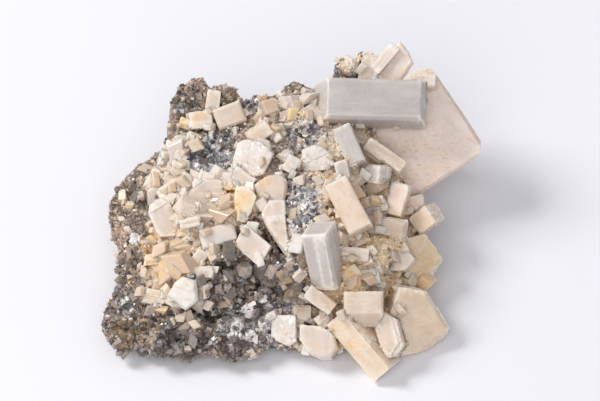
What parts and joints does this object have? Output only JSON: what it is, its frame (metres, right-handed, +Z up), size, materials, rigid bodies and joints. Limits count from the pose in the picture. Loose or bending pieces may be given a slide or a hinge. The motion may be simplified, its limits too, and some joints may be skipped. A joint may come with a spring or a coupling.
{
  "type": "barite crystal cluster",
  "caption": "Cream and grey barite tablets, blades and a long prism grown on a dark granular metallic matrix with a cut-flat base.",
  "frame": {"origin": "on the surface that the cluster rests on, under the middle of its bounding box", "axes": "+Z up; +X to the right as the crystal face is looked at; -Y towards the viewer, whom the crystal face looks up at"},
  "size_m": [0.1076, 0.0948, 0.0411],
  "materials": {
    "matrix_rock": "dark grey granular sulphide rock, sparkling, brown at its rim",
    "grey_barite": "bluish grey barite, satin",
    "plate_barite": "translucent pinkish beige barite, smooth",
    "cream_barite": "cream barite, satin to frosted",
    "ivory_barite": "ivory white barite, frosted",
    "tan_barite": "warm tan translucent barite, satin",
    "stained_barite": "barite stained orange yellow by iron, frosted",
    "milky_barite": "milky translucent barite, glassy"
  },
  "bodies": {
    "root": {"matrix": "matrix_rock", "long_column": "grey_barite", "great_plate": "plate_barite", "top_fan": "cream_barite", "rim_tablet": "cream_barite", "standing_blade": "grey_barite", "central_blade": "cream_barite", "sloping_prism_a": "grey_barite", "sloping_prism_b": "cream_barite", "shoulder_block": "grey_barite", "wedge_tablet": "grey_barite", "pink_tablet": "plate_barite", "step_crystal": "cream_barite", "brown_crystal": "plate_barite", "outer_cube": "tan_barite", "cross_prism": "milky_barite", "side_wedge": "tan_barite", "pointed_crystal": "cream_barite", "cross_bar": "cream_barite", "under_block": "cream_barite", "link_crystal": "cream_barite", "rust_crystal": "stained_barite", "glassy_step": "cream_barite", "lower_blade": "cream_barite", "white_bar": "ivory_barite", "floor_blade": "tan_barite", "faceted_crystal": "cream_barite", "corner_tablet": "cream_barite", "corner_block": "tan_barite", "toe_crystal": "ivory_barite", "ivory_block": "ivory_barite", "toe_chip_left": "cream_barite", "toe_chip_right": "cream_barite", "sugar_plate": "cream_barite", "upper_tablet": "cream_barite", "brown_chip": "stained_barite", "fang": "milky_barite", "amber_wedge": "stained_barite", "sugar_block": "cream_barite", "slate_prism": "milky_barite", "pale_prism": "milky_barite", "grey_twin": "milky_barite", "milky_fan": "milky_barite", "glassy_bar": "milky_barite", "arrow_twin": "cream_barite", "rim_pair": "cream_barite", "domed_pair": "cream_barite", "ivory_tablet": "ivory_barite", "side_bar": "cream_barite", "grey_prism": "milky_barite", "small_cube": "ivory_barite", "short_bar": "cream_barite", "yellow_wedge": "stained_barite", "clear_crystal": "cream_barite", "white_cube": "cream_barite", "beige_bar": "cream_barite", "cream_wedge": "cream_barite", "edge_prism": "cream_barite", "shelf_bar": "cream_barite"}
  },
  "joints": []
}
